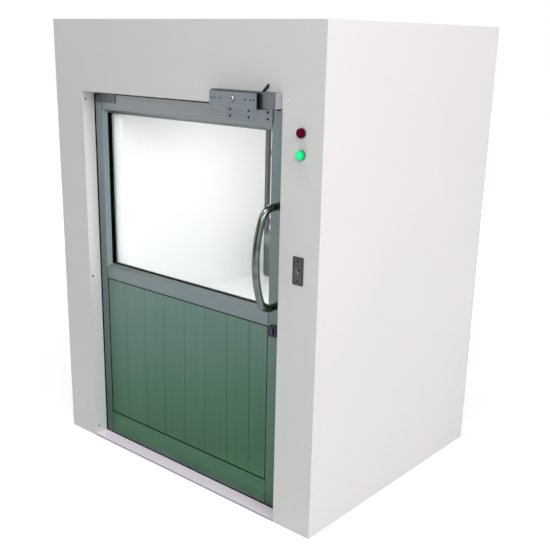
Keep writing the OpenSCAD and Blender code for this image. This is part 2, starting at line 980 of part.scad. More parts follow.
rear() fascia();  // rear_fascia
rear() reveal();  // rear_reveal
rear() bulkhead();  // rear_bulkhead
rear() hinge_stile();  // rear_hinge_stile
rear() lock_stile();  // rear_lock_stile
rear() top_rail();  // rear_top_rail
rear() mid_rail();  // rear_mid_rail
rear() bottom_rail();  // rear_bottom_rail
rear() glass();  // rear_glass
rear() glazing_beads();  // rear_glazing_beads
rear() glazing_gasket();  // rear_glazing_gasket
rear() slat_panel();  // rear_slat_panel
rear() top_pivot();  // rear_top_pivot
rear() bottom_pivot();  // rear_bottom_pivot
rear() pull_handle();  // rear_pull_handle
rear() lock_case();  // rear_lock_case
rear() lock_turn();  // rear_lock_turn
rear() armature_bracket();  // rear_armature_bracket
rear() armature();  // rear_armature
rear() armature_bolt();  // rear_armature_bolt
rear() magnet();  // rear_magnet
rear() red_lamp();  // rear_red_lamp
rear() green_lamp();  // rear_green_lamp
rear() release_plate();  // rear_release_plate
rear() release_button();  // rear_release_button
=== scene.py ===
# %% [markdown]
# # A cleanroom pass box
#
# A pass box is a double-sided cupboard in a cleanroom wall.  Goods go in by one door
# and out by the other, and a magnetic lock keeps both from being open together.
# The solids come from the construction model.  This notebook gives them their
# finishes, adds the small hardware that is too fine for the solids, and sets up a
# plain studio.  Everything is in metres: +Z is up and the front faces -Y.

# %% load the solids
from math import cos, pi, radians, sin

import bmesh
import bpy
from mathutils import Matrix, Vector


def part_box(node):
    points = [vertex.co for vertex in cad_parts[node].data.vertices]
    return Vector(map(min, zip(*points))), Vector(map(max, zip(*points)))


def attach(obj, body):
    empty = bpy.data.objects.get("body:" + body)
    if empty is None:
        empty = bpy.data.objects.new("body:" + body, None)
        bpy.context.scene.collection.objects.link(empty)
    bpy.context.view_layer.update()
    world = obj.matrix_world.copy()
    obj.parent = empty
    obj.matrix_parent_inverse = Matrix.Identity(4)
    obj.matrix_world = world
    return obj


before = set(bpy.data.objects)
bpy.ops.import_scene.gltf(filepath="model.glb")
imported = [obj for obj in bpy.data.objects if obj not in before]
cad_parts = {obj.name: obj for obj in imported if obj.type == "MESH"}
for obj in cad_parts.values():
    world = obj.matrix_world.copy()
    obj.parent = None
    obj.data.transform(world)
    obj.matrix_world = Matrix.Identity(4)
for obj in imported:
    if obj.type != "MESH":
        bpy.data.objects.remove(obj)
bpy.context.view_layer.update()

# %% [markdown]
# ## Camera
#
# A camera could be aimed by eye.  Here its place, turn and lens come from the
# cabinet's known size, so a straight edge of 1.5 m lands where it should.  The
# picture is square and 550 pixels wide, and the optical axis is a little off its
# middle, which Blender calls shift.

# %% camera
IMAGE_SIDE = 550
SENSOR = 36.0
FOCAL_PIXELS = 841.49
AXIS_PIXEL = (264.843, 291.636)
CAMERA_PLACE = (1.92315, -2.25251, 1.44956)

azimuth, elevation, roll = radians(40.787), radians(16.738), radians(1.103)
forward = Vector((-sin(azimuth) * cos(elevation), cos(azimuth) * cos(elevation), -sin(elevation)))
level_right = forward.cross(Vector((0, 0, 1))).normalized()
level_up = level_right.cross(forward)
right = cos(roll) * level_right + sin(roll) * level_up
up = cos(roll) * level_up - sin(roll) * level_right

lens = bpy.data.cameras.new("studio_camera")
lens.sensor_width = SENSOR
lens.lens = FOCAL_PIXELS / IMAGE_SIDE * SENSOR
lens.shift_x = (IMAGE_SIDE / 2 - AXIS_PIXEL[0]) / IMAGE_SIDE
lens.shift_y = (AXIS_PIXEL[1] - IMAGE_SIDE / 2) / IMAGE_SIDE
camera = bpy.data.objects.new("studio_camera", lens)
camera_turn = Matrix((right, up, -forward)).transposed().to_4x4()
camera.matrix_world = Matrix.Translation(CAMERA_PLACE) @ camera_turn
bpy.context.scene.collection.objects.link(camera)
bpy.context.scene.camera = camera
print("lens", round(lens.lens, 2), "mm, shift", round(lens.shift_x, 4), round(lens.shift_y, 4))

# %% [markdown]
# ## Building materials from nodes
#
# Every finish below starts from one Principled shader.  Patterns are worked out in
# space, from Object coordinates, so they need no images and no unwrapping, and they
# keep their real size in metres.  A few helpers keep the cells short: they add a
# node and fill its inputs, and name the sums that are needed most.

# %% helpers for nodes
def linear(code):
    """Linear colour of a web colour such as 85898D, as a shader wants it."""
    parts = [int(code[i:i + 2], 16) / 255 for i in (0, 2, 4)]
    return [p / 12.92 if p <= 0.04045 else ((p + 0.055) / 1.055) ** 2.4 for p in parts] + [1.0]


def add_node(tree, kind, setup=None, **inputs):
    """Adds a node, applies setup to it, and fills inputs with values or links."""
    made = tree.nodes.new(kind)
    for key, value in (setup or {}).items():
        setattr(made, key, value)
    for key, value in inputs.items():
        by_number = key[1:].isdigit()
        slot = made.inputs[int(key[1:])] if by_number else made.inputs[key.replace("_", " ")]
        if isinstance(value, bpy.types.NodeSocket):
            tree.links.new(value, slot)
        else:
            slot.default_value = value
    return made


def work_out(tree, operation, *values):
    """Result of a Math node on numbers or links."""
    inputs = {f"_{i}": value for i, value in enumerate(values)}
    return add_node(tree, "ShaderNodeMath", {"operation": operation}, **inputs).outputs[0]


def along_axis(tree, place, axis):
    """The X, Y or Z part of a place."""
    return add_node(tree, "ShaderNodeSeparateXYZ", Vector=place).outputs[axis]


def distance(tree, place):
    """How far a place is from the origin."""
    length = add_node(tree, "ShaderNodeVectorMath", {"operation": "LENGTH"}, _0=place)
    return length.outputs["Value"]


print("85898D in linear light:", [round(part, 3) for part in linear("85898D")[:3]])

# %% [markdown]
# ### Starting a finish
#
# A new material comes with a Principled shader, which covers metal, plastic, paint
# and glass alike.  Each finish sets its even values on the shader's own sockets, and
# joins a pattern only to what really varies over the surface.

# %% helpers for a finish
def start_finish(name, colour, roughness, metallic=0.0):
    """A new material with its tree, its shader and a source of places in metres."""
    material = bpy.data.materials.new(name)
    material.use_nodes = True
    tree = material.node_tree
    shader = tree.nodes["Principled BSDF"]
    shader.inputs["Base Color"].default_value = linear(colour)
    shader.inputs["Roughness"].default_value = roughness
    shader.inputs["Metallic"].default_value = metallic
    material.diffuse_color = linear(colour)
    place = tree.nodes.new("ShaderNodeTexCoord").outputs["Object"]
    return material, tree, shader, place


def feed(shader, socket, link):
    """Joins a link to one of the shader's sockets."""
    shader.id_data.links.new(link, shader.inputs[socket])


print("each finish starts from", start_finish.__name__)

# %% [markdown]
# ### Patterns and mixes
#
# No real surface is even.  Its marks could be painted on an image, but an image has
# to be unwrapped and blurs up close.  Noise that is worked out in space stays sharp,
# so each cloud and grain line below is noise, and a Map Range node spreads it over a
# range of tone or gloss.

# %% helpers for patterns
def speckle(tree, place, scale, detail=2.0, stretch=(1, 1, 1)):
    """Soft random values of about 0.5, at so many patches to the metre."""
    laid = add_node(tree, "ShaderNodeMapping", Vector=place, Scale=stretch).outputs[0]
    noise = add_node(tree, "ShaderNodeTexNoise", Vector=laid, Scale=scale, Detail=detail)
    return noise.outputs["Fac"]


def between(tree, source, low, high, from_low=0.3, from_high=0.7):
    """Spreads a source value over the range from low to high."""
    return add_node(tree, "ShaderNodeMapRange", Value=source, From_Min=from_low,
                    From_Max=from_high, To_Min=low, To_Max=high).outputs[0]


def blend_colours(tree, factor, first, second):
    """Mixes two colours, each a web colour or a link, by a factor."""
    mix = tree.nodes.new("ShaderNodeMix")
    mix.data_type = "RGBA"
    tree.links.new(factor, mix.inputs["Factor"])
    for slot, value in ((mix.inputs[6], first), (mix.inputs[7], second)):
        if isinstance(value, bpy.types.NodeSocket):
            tree.links.new(value, slot)
        else:
            slot.default_value = linear(value)
    return mix.outputs[2]


print("between spreads 0.3 to 0.7, where most of the noise lies, over its whole range")

# %% [markdown]
# ### Grain, soft edges and second colours
#
# Fine relief could be modelled, at the cost of millions of faces.  A Bump node turns
# the light instead, and a Bevel node does the same for the round of a folded edge,
# so neither touches the mesh.  Where one solid has two colours, a mask picks out
# what lies beyond a plane.

# %% helpers for relief and masks
EDGE_SAMPLES = 4


def soft_edge(tree, radius):
    """Normals that round the light on an edge to a radius."""
    return add_node(tree, "ShaderNodeBevel", {"samples": EDGE_SAMPLES}, Radius=radius).outputs[0]


def raise_grain(tree, shader, height, depth, normal=None):
    """Bumps the surface by a height pattern of so many metres."""
    inputs = {"Height": height, "Distance": depth, "Strength": 1.0}
    if normal is not None:
        inputs["Normal"] = normal
    feed(shader, "Normal", add_node(tree, "ShaderNodeBump", **inputs).outputs[0])


def recolour_beyond(material, axis, edge, colour):
    """Recolours what lies further than edge from the middle plane; returns the mask."""
    tree = material.node_tree
    place = tree.nodes.new("ShaderNodeTexCoord").outputs["Object"]
    away = work_out(tree, "ABSOLUTE", along_axis(tree, place, axis))
    mask = work_out(tree, "GREATER_THAN", away, edge)
    base = tree.nodes["Principled BSDF"].inputs["Base Color"]
    tree.links.new(blend_colours(tree, mask, base.links[0].from_socket, colour), base)
    return mask


print("an edge is rounded from", EDGE_SAMPLES, "samples")

# %% [markdown]
# ## Powder coat
#
# The cabinet is folded steel under a white powder coat.  Powder melts into a skin
# with a faint orange peel, about a millimetre across, and folded edges keep a small
# radius.  A flat grey-white would look like paper, so the coat gets that peel, a
# slow drift of tone, a slight darkening towards the floor, and a soft edge.  The
# base pan's edge is coloured darker than the sill, which is the pan's top, as painted
# shade on that edge, so a mask gives the paler sill a colour of its own.

# %% powder coat
FOLD_RADIUS = 0.0015
PEEL, PEEL_DEPTH = 900.0, 0.00004
CLOUDS, GLOSS_PATCHES = 1.6, 25.0
LOW_DARKENING, LOW_DARKENING_TOP = 0.35, 0.12
CLEAR_COAT, CLEAR_COAT_ROUGHNESS = 0.12, 0.25


def powder_coat(name, colour, drift, roughness=0.42, spread=0.05):
    """White coat with orange peel; drift is the darker tone it wanders towards."""
    material, tree, shader, place = start_finish(name, colour, roughness)
    cloudy = between(tree, speckle(tree, place, CLOUDS, 1.5), 0.0, 0.7, 0.15, 0.85)
    # The coat turns a little darker towards the floor, fading out over its lowest 12 cm.
    low_darkening = between(tree, along_axis(tree, place, "Z"), LOW_DARKENING, 0.0, 0.0, LOW_DARKENING_TOP)
    drifted = work_out(tree, "MAXIMUM", cloudy, low_darkening)
    feed(shader, "Base Color", blend_colours(tree, drifted, colour, drift))
    gloss = speckle(tree, place, GLOSS_PATCHES, 1.0)
    feed(shader, "Roughness",
         between(tree, gloss, roughness - spread, roughness + spread, 0.1, 0.9))
    peel = speckle(tree, place, PEEL, 1.0)
    raise_grain(tree, shader, peel, PEEL_DEPTH, soft_edge(tree, FOLD_RADIUS))
    shader.inputs["Coat Weight"].default_value = CLEAR_COAT
    shader.inputs["Coat Roughness"].default_value = CLEAR_COAT_ROUGHNESS
    return material


# The fascia and the sides carry one paint.  The fascia's coat, also used on the reveal, is a
# little darker as painted shade, and the sides' coat a little lighter as painted light.
fascia_coat_painted_shade = powder_coat("fascia coat with painted shade", "ECEBEA", "DEDEDF")
side_coat_painted_light = powder_coat("side coat with painted light", "F3EDEF", "E9E4E6")
chamber_coat = powder_coat("chamber white coat", "F7F8F7", "F3F4F4", roughness=0.4, spread=0.02)
# The pan's colour C2BCC3 is darker than the sill's: painted shade on the pan's front edge.
sill_coat_painted_edge_shade = powder_coat("sill coat with painted edge shade", "C2BCC3", "B5AFB6")
below_sill_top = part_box("base_pan")[1][2] - 0.0008
recolour_beyond(sill_coat_painted_edge_shade, "Z", below_sill_top, "FBEDFC")
print("sill is pale from", round(below_sill_top * 1000, 1), "mm up")

# %% [markdown]
# ## Anodised aluminium
#
# The door is built of extruded aluminium.  An extrusion leaves fine lines along its
# length, and an anodised skin dulls the metal to a satin grey.  The cool grey at the
# top is that skin's own colour.  Lower down it turns to a deep green-grey, which is a
# painted reflection of a green floor together with painted shade, and the door is
# painted a little lighter at the hinge side and greener, sooner, at the lock side.
# The lines come from noise that is stretched a hundredfold along the section, and a
# colour ramp follows the height.

# %% shading by height
HALF_DOOR = 0.45
WAVES, WANDER = 4.0, 0.02


def door_level(tree, place, painted_side_light):
    """Height that wanders a little, with one shift at the hinge side and one at the
    lock side; the shifts are painted light, for a greyer hinge side and a greener
    lock side.  Seen from its own side each door has its hinge on the left."""
    wander = between(tree, speckle(tree, place, WAVES, 3.0), -WANDER, WANDER)
    level = work_out(tree, "ADD", along_axis(tree, place, "Z"), wander)
    which_door = work_out(tree, "SIGN", along_axis(tree, place, "Y"))
    to_hinge = work_out(tree, "MULTIPLY", along_axis(tree, place, "X"), which_door)
    at_hinge, at_lock = painted_side_light
    # Painted light: the level, and so the colour, is raised at the hinge side and lowered at the
    # lock side.
    shift = between(tree, to_hinge, at_lock, at_hinge, -HALF_DOOR, HALF_DOOR)
    return work_out(tree, "ADD", level, shift)


def height_colours(tree, level, shades):
    """Colours that follow a level; shades are (height, colour) from the floor up."""
    ramp = tree.nodes.new("ShaderNodeValToRGB")
    top = shades[-1][0]
    tree.links.new(between(tree, level, 0.0, 1.0, 0.0, top), ramp.inputs[0])
    steps = ramp.color_ramp.elements
    while len(steps) < len(shades):
        steps.new(0.5)
    for step, (z, colour) in zip(steps, shades):
        step.position = z / top
        step.color = linear(colour)
    return ramp.outputs[0]


print("skin shades over", 2 * HALF_DOOR, "m of width and wander", WANDER, "m in height")

# %% [markdown]
# ### One extrusion, four shades
#
# Stiles and slats stand, rails and beads lie.  Their tones differ a little because
# each list paints the light, shade and green reflection that fall on that part: the
# beads, which face down and inwards, are painted darker as shade.  One recipe makes
# all four, with its own list of shades and its own direction for the lines.

# %% anodised aluminium
ALONG = {"x": (2.0, 260.0, 260.0), "z": (260.0, 260.0, 2.0)}
SKIN_METAL = 0.7
LINE_DEPTH, SECTION_RADIUS = 0.00006, 0.0006
# Shades run from the floor up.  The top colour is the anodised grey; the greener, darker colours
# below it are painted reflection of a green floor with painted shade.
STILE_TONE_AND_PAINTED_LIGHT = [(0.0, "4C6A55"), (0.35, "577468"), (0.66, "72827F"), (1.0, "7C8A8D"),
                (1.5, "A0A8AE")]
RAIL_TONE_AND_PAINTED_LIGHT = [(0.0, "627E6E"), (0.02, "52775F"), (0.035, "4B7459"), (0.12, "466B54"),
               (0.35, "53745F"), (0.62, "7F8C90"), (1.27, "999C9F")]
BEAD_TONE_AND_PAINTED_LIGHT = [(0.6, "84918F"), (1.0, "7F8D8F"), (1.27, "7B898A")]
SLAT_TONE_AND_PAINTED_LIGHT = [(0.0, "457052"), (0.12, "41664E"), (0.3, "4B715B"), (0.62, "6A857D"),
               (0.8, "74857F")]


def anodised(name, along, shades, painted_side_light=(0.0, 0.0), roughness=0.38, streak=0.9):
    """Satin extrusion; along is the way that it was pushed, streak dims its lines."""
    material, tree, shader, place = start_finish(name, shades[-1][1], roughness, SKIN_METAL)
    tone_and_painted_light = height_colours(tree, door_level(tree, place, painted_side_light), shades)
    lines = speckle(tree, place, 1.0, 2.0, ALONG[along])
    darker = add_node(tree, "ShaderNodeHueSaturation", Value=streak, Color=tone_and_painted_light).outputs[0]
    fine = between(tree, lines, 0.0, 0.5)
    feed(shader, "Base Color", blend_colours(tree, fine, tone_and_painted_light, darker))
    feed(shader, "Roughness", between(tree, lines, roughness - 0.06, roughness + 0.1))
    raise_grain(tree, shader, lines, LINE_DEPTH, soft_edge(tree, SECTION_RADIUS))
    return material


stile_finish = anodised("anodised stile", "z", STILE_TONE_AND_PAINTED_LIGHT, painted_side_light=(0.25, -0.12))
rail_finish = anodised("anodised rail", "x", RAIL_TONE_AND_PAINTED_LIGHT)
bead_finish = anodised("anodised beads", "x", BEAD_TONE_AND_PAINTED_LIGHT)
slat_finish = anodised("anodised slats", "z", SLAT_TONE_AND_PAINTED_LIGHT, painted_side_light=(0.1, -0.1), roughness=0.42,
                       streak=0.95)
print("door metals:", stile_finish.name, rail_finish.name, bead_finish.name, slat_finish.name)

# %% [markdown]
# ## Glass, gasket and plastics
#
# Sheet glass a few millimetres thick barely colours what is behind it.  Real glass
# also lets the lamps through, which a path tracer finds hard, so shadow rays pass it
# by a Transparent shader.  Rubber is near black and quite matt.

# %% glass and rubber
GLASS_TONE, GLASS_IOR = "FCFEFD", 1.45
SMEARS, TALL_SMEARS = 5.0, (1, 1, 0.4)
PORES, PORE_DEPTH = 700.0, 0.00003


def sheet_glass(name):
    """Clear pane with a faint green body that lets the lamps through."""
    material, tree, shader, place = start_finish(name, GLASS_TONE, 0.02)
    shader.inputs["Transmission Weight"].default_value = 1.0
    shader.inputs["IOR"].default_value = GLASS_IOR
    smears = speckle(tree, place, SMEARS, 2.0, TALL_SMEARS)
    feed(shader, "Roughness", between(tree, smears, 0.012, 0.03, 0.0, 1.0))
    clear = add_node(tree, "ShaderNodeBsdfTransparent", Color=linear(GLASS_TONE))
    rays = tree.nodes.new("ShaderNodeLightPath")
    mix = add_node(tree, "ShaderNodeMixShader", _0=rays.outputs["Is Shadow Ray"],
                   _1=shader.outputs[0], _2=clear.outputs[0])
    tree.links.new(mix.outputs[0], tree.nodes["Material Output"].inputs["Surface"])
    return material


def moulded(name, colour, roughness, shine):
    """Moulded rubber or plastic with a fine grain; shine is 0.5 for a plain plastic."""
    material, tree, shader, place = start_finish(name, colour, roughness)
    shader.inputs["Specular IOR Level"].default_value = shine
    pores = speckle(tree, place, PORES)
    feed(shader, "Roughness", between(tree, pores, roughness - 0.06, roughness + 0.1))
    raise_grain(tree, shader, pores, PORE_DEPTH)
    return material


pane = sheet_glass("clear sheet glass")
gasket_rubber = moulded("black gasket rubber", "040405", 0.6, 0.04)
lead_plastic = moulded("black lead sheath", "09070A", 0.5, 0.12)
print("glazing:", pane.name, gasket_rubber.name)

# %% [markdown]
# ## Dull and brushed metals
#
# One recipe serves most of the hardware: a metal with a grain that may run one way.
# Brushed steel has long lines, so its noise is stretched, and cast and plated parts
# have a cloudy skin, so theirs is not.

# %% hardware metals
CLOUDY_GRAIN = (300.0, 300.0, 300.0)
BRUSHED_GRAIN = (3, 400, 400)
PATCHES = 25.0
GRAIN_DEPTH, HARDWARE_RADIUS = 0.00002, 0.0005


def hardware_metal(name, colour, roughness, grain=CLOUDY_GRAIN, spread=0.08, dark=None,
                   metallic=1.0):
    """Metal with a grain; dark is the tone that its grain wanders towards."""
    material, tree, shader, place = start_finish(name, colour, roughness, metallic)
    lines = speckle(tree, place, 1.0, 2.0, grain)
    patches = speckle(tree, place, PATCHES, 3.0)
    feed(shader, "Roughness",
         between(tree, patches, max(0.02, roughness - spread), roughness + spread))
    mixed = between(tree, lines, 0.0, 0.7)
    feed(shader, "Base Color", blend_colours(tree, mixed, colour, dark or colour))
    raise_grain(tree, shader, lines, GRAIN_DEPTH, soft_edge(tree, HARDWARE_RADIUS))
    return material


pivot_steel = hardware_metal("dull plated pivot", "6E7476", 0.45, dark="5E6466")
bracket_steel = hardware_metal("satin bracket", "8B9297", 0.42, BRUSHED_GRAIN, dark="80868B")
magnet_shell = hardware_metal("satin magnet shell", "7A8082", 0.4, BRUSHED_GRAIN, dark="6F7577")
# A plated armature is pale steel; its near-black colour here is painted shade of the gap between
# bracket plate and magnet.
armature_painted_shade = hardware_metal("armature in painted shade", "1E1A23", 0.5, dark="151219")
# The chromed bolt's grey is darker than chrome: painted reflection of darker surroundings.
bolt_painted_reflection = hardware_metal("chromed bolt with painted reflection", "85878D", 0.1, spread=0.03)
plate_steel = hardware_metal("brushed release plate", "5C5D5D", 0.34, (4, 600, 600),
                             dark="494A4A")
# The polished button's dark grey is painted reflection of dark surroundings, not the steel's own
# colour.
button_painted_reflection = hardware_metal("polished button with painted reflection", "6E6E70", 0.12, spread=0.04)
lock_metal = hardware_metal("dark lock case", "2C2D42", 0.42, dark="232435", metallic=0.5)
turn_metal = hardware_metal("satin thumb turn", "4C4E64", 0.3, dark="3C3E52")
screw_black = hardware_metal("blackened screw", "1E1E22", 0.45, dark="131316", metallic=0.6)
screw_zinc = hardware_metal("zinc screw", "8C8F90", 0.35, dark="6F7274")
print("metals:", bracket_steel.name, magnet_shell.name, plate_steel.name, lock_metal.name)

# %% [markdown]
# ### End caps of the magnet
#
# The magnet's shell is a length of extrusion, and its ends are closed by moulded
# caps of a paler, duller grey.  Shell and cap are one solid, so the material parts
# them where the cap's face begins.

# %% end caps of the magnet
CAP_METAL = 0.1
cap_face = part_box("front_magnet")[1][0] - 0.0005
end_cap = recolour_beyond(magnet_shell, "X", cap_face, "A4A4AE")
shell_tree = magnet_shell.node_tree
feed(shell_tree.nodes["Principled BSDF"], "Metallic",
     between(shell_tree, end_cap, 1.0, CAP_METAL, 0.0, 1.0))
print("caps start", round(cap_face, 4), "m from the middle")

# %% [markdown]
# ### Polished tube of the handle
#
# The bow handle is a polished tube.  It has no lines at all, only finger marks,
# which show as patches that are a little rougher and duller, and a very slow ripple
# from the bending.  Its colour is far darker and greener than polished steel: a
# painted reflection of dark and green surroundings.

# %% polished tube
POLISH, TOUCHED_ROUGHNESS = 0.1, 0.16
FINGER_MARKS = 38.0
RIPPLES, RIPPLE_DEPTH = 16.0, 0.0004


def polished_tube(name, colour, marked):
    """Polished metal; marked is the tone of the places that hands have dulled."""
    material, tree, shader, place = start_finish(name, colour, POLISH, 1.0)
    touched = between(tree, speckle(tree, place, FINGER_MARKS, 4.0), 0.0, 1.0, 0.42, 0.68)
    feed(shader, "Roughness",
         between(tree, touched, POLISH, POLISH + TOUCHED_ROUGHNESS, 0.0, 1.0))
    feed(shader, "Base Color", blend_colours(tree, touched, colour, marked))
    raise_grain(tree, shader, speckle(tree, place, RIPPLES, 1.0), RIPPLE_DEPTH)
    return material


# Dark green-grey base: painted reflection, not the polished steel's own colour.
handle_painted_reflection = polished_tube("polished handle with painted reflection", "727B73", "5C655D")
print("handle:", handle_painted_reflection.name)

# %% [markdown]
# ## Pilot lamps
#
# A pilot lamp is a coloured cap in a metal bezel.  The red one is off, so it is a
# dark plastic; its faint glow and its lighter middle are painted light, standing in for
# room light that scatters inside the cap.  The green one is lit: it glows from the
# middle, and its rim stays deeper.  Cap and bezel are one solid, so the material parts
# them itself: the tone of the cap is read from the distance to the lamp's axis, and
# the bezel is everything that stands less than 5 mm off the panel.

# %% lamp caps
BEZEL_TONE, BEZEL_METAL = "8C8791", 0.85
BEZEL_FRONT = abs(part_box("front_magnet")[1][1]) + 0.0051
CORE_RADIUS, RIM_RADIUS = 0.0075, 0.0128
RIBS, RIB_DEPTH = 260.0, 0.0001


def lamp_cap(name, body, core, glow, node_name):
    """Ribbed translucent cap in its bezel; glow is the strength of its light."""
    low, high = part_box(node_name)
    middle = [(a + b) / 2 for a, b in zip(low, high)]
    material, tree, shader, place = start_finish(name, body, 0.3)
    shader.inputs["Specular IOR Level"].default_value = 0.03
    centred = add_node(tree, "ShaderNodeMapping", Vector=place,
                       Location=(-middle[0], 0, -middle[2]), Scale=(1, 0, 1)).outputs[0]
    rim = between(tree, distance(tree, centred), 0.0, 1.0, CORE_RADIUS, RIM_RADIUS)
    ribs = add_node(tree, "ShaderNodeTexWave", {"wave_type": "RINGS", "rings_direction": "Y"},
                    Vector=centred, Scale=RIBS, Distortion=0.0).outputs["Fac"]
    raise_grain(tree, shader, ribs, RIB_DEPTH)
    depth = work_out(tree, "ABSOLUTE", along_axis(tree, place, "Y"))
    cap = work_out(tree, "GREATER_THAN", depth, BEZEL_FRONT)
    tinted = blend_colours(tree, rim, core, body)
    feed(shader, "Base Color", blend_colours(tree, cap, BEZEL_TONE, tinted))
    feed(shader, "Metallic", between(tree, cap, BEZEL_METAL, 0.0, 0.0, 1.0))
    feed(shader, "Emission Color", blend_colours(tree, cap, "000000", tinted))
    shader.inputs["Emission Strength"].default_value = glow
    return material


# The red lamp is off: its glow of 0.5 and its lighter core 56021A are painted light.
red_caps = {side: lamp_cap(f"{side} red cap", "3E0014", "56021A", 0.5, f"{side}_red_lamp")
            for side in ("front", "rear")}
green_caps = {side: lamp_cap(f"{side} green cap", "0B9A55", "1FF58C", 0.85, f"{side}_green_lamp")
              for side in ("front", "rear")}
print("lamps:", [cap.name for caps in (red_caps, green_caps) for cap in caps.values()])

# %% [markdown]
# ## Light of the chamber
#
# A flat opal panel in the ceiling lights the chamber.  Its underside carries a fine
# prism pattern that spreads the light.  An area lamp would light the room as well,
# but nobody could see it through the glass, so here the panel itself glows.

# %% opal diffuser
PRISMS, PRISM_DEPTH = 180.0, 0.0004
CHAMBER_GLOW = 13.0


def diffuser_plastic(name, glow):
    """Opal panel with a fine prism pattern that gives the chamber its light."""
    material, tree, shader, place = start_finish(name, "F8FAFC", 0.5)
    prisms = add_node(tree, "ShaderNodeTexVoronoi", Vector=place, Scale=PRISMS).outputs["Distance"]
    raise_grain(tree, shader, prisms, PRISM_DEPTH)
    feed(shader, "Roughness", between(tree, prisms, 0.6, 0.4, 0.0, 1.0))
    shader.inputs["Emission Color"].default_value = linear("FFF8FA")
    shader.inputs["Emission Strength"].default_value = glow
    return material


diffuser = diffuser_plastic("opal diffuser", CHAMBER_GLOW)
print("diffuser:", diffuser.name, "at", CHAMBER_GLOW)

# %% [markdown]
# ## Dressing the solids
#
# Each solid keeps its shape and takes one finish.  The two faces of the box are the
# same, so one list with the side left out serves both.

# %% finishes on the solids
finish_of = {
    "base_pan": sill_coat_painted_edge_shade, "left_side": side_coat_painted_light, "right_side": side_coat_painted_light, "top_panel": side_coat_painted_light,
    "chamber_floor": chamber_coat, "chamber_left_wall": chamber_coat,
    "chamber_right_wall": chamber_coat, "chamber_ceiling": chamber_coat, "chamber_light": diffuser,
    "front_magnet_lead": lead_plastic,
}
finish_on_each_side = {
    "fascia": fascia_coat_painted_shade, "reveal": fascia_coat_painted_shade, "bulkhead": chamber_coat,
    "hinge_stile": stile_finish, "lock_stile": stile_finish, "top_rail": rail_finish,
    "mid_rail": rail_finish, "bottom_rail": rail_finish, "glass": pane,
    "glazing_beads": bead_finish, "glazing_gasket": gasket_rubber, "slat_panel": slat_finish,
    "top_pivot": pivot_steel, "bottom_pivot": pivot_steel, "pull_handle": handle_painted_reflection,
    "lock_case": lock_metal, "lock_turn": turn_metal, "armature_bracket": bracket_steel,
    "armature": armature_painted_shade, "armature_bolt": bolt_painted_reflection, "magnet": magnet_shell,
    "release_plate": plate_steel, "release_button": button_painted_reflection,
}
for side in ("front", "rear"):
    finish_of.update({f"{side}_{piece}": it for piece, it in finish_on_each_side.items()})
    finish_of[f"{side}_red_lamp"] = red_caps[side]
    finish_of[f"{side}_green_lamp"] = green_caps[side]

for name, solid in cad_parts.items():
    solid.data.materials.clear()
    solid.data.materials.append(finish_of[name])
print("dressed", len(finish_of), "of", len(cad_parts), "solids")

# %% [markdown]
# ## Small hardware
#
# Screws and seals are too small for the solids, but the eye looks for them.  A
# screw head is a turned shape: a low cylinder with a bevelled rim, and a socket
# that is made by an inset of the top face and an extrude downwards.  It is made
# once about the Z axis, with its foot on the XY plane.

# %% screw head
SCREW_SIDES = 32


def screw_head(across, height, socket=0.45):
    """Round head with a bevelled rim and a sunk socket, standing on the XY plane."""
    head = bmesh.new()
    bmesh.ops.create_cone(head, cap_ends=True, segments=SCREW_SIDES, radius1=across / 2,
                          radius2=across / 2, depth=height)
    bmesh.ops.translate(head, verts=head.verts, vec=(0, 0, height / 2))
    rim = [e for e in head.edges if all(v.co.z > height - 1e-6 for v in e.verts)]
    bmesh.ops.bevel(head, geom=rim, offset=height * 0.4, segments=3, profile=0.5,
                    affect="EDGES", material=-1)
    if socket:
        top = max(head.faces, key=lambda face: face.calc_center_median().z)
        bmesh.ops.inset_region(head, faces=[top], thickness=across * (0.4 - socket / 2))
        sunk = bmesh.ops.extrude_discrete_faces(head, faces=[top])["faces"][0]
        bmesh.ops.translate(head, verts=sunk.verts, vec=(0, 0, -height * 0.5))
    return head


print("a screw head has", SCREW_SIDES, "sides")

# %% [markdown]
# ### Turning a head to its face
#
# The head is drawn upright, and has to look out of the door or in from a jamb.
# Angles could be written out for each, but a turn that brings +Z to a direction says
# the same thing and can't be mixed up.

# %% helpers for turning
def facing(direction):
    """Turn that brings +Z to a direction."""
    return Vector((0, 0, 1)).rotation_difference(Vector(direction)).to_matrix().to_4x4()


def set_at(place, direction):
    """Brings the foot of a shape to a place and turns its top to a direction."""
    return Matrix.Translation(place) @ facing(direction)


print("a head that looks out of the front lies at", [round(part, 3) for part in
      set_at((0, -0.5, 1), (0, -1, 0)) @ Vector((0, 0, 0.002))])

# %% [markdown]
# ### Joining the copies
#
# A real screw is one of many alike.  Each could be its own object, but copies of one
# kind that ride together are joined in one piece here, which keeps the list short.
# The rear of the box is the front turned half a turn, so each piece is made twice
# from the same shape.

# %% helpers for copies
SIDES = (("front", Matrix.Identity(4)), ("rear", Matrix.Rotation(pi, 4, "Z")))
AS_DRAWN = [Matrix.Identity(4)]


def place_copies(name, shape, turns, body, finish):
    """Joins copies of a shape, one for each turn, in one piece that rides on a body."""
    joined = bmesh.new()
    source = bpy.data.meshes.new(name + "_source")
    shape.to_mesh(source)
    for turn in turns:
        start = len(joined.verts)
        joined.from_mesh(source)
        joined.verts.ensure_lookup_table()
        bmesh.ops.transform(joined, matrix=turn, verts=joined.verts[start:])
    bmesh.ops.recalc_face_normals(joined, faces=joined.faces)
    mesh = bpy.data.meshes.new(name)
    joined.to_mesh(mesh)
    joined.free()
    bpy.data.meshes.remove(source)
    mesh.materials.append(finish)
    piece = bpy.data.objects.new(name, mesh)
    bpy.context.scene.collection.objects.link(piece)
    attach(piece, body)


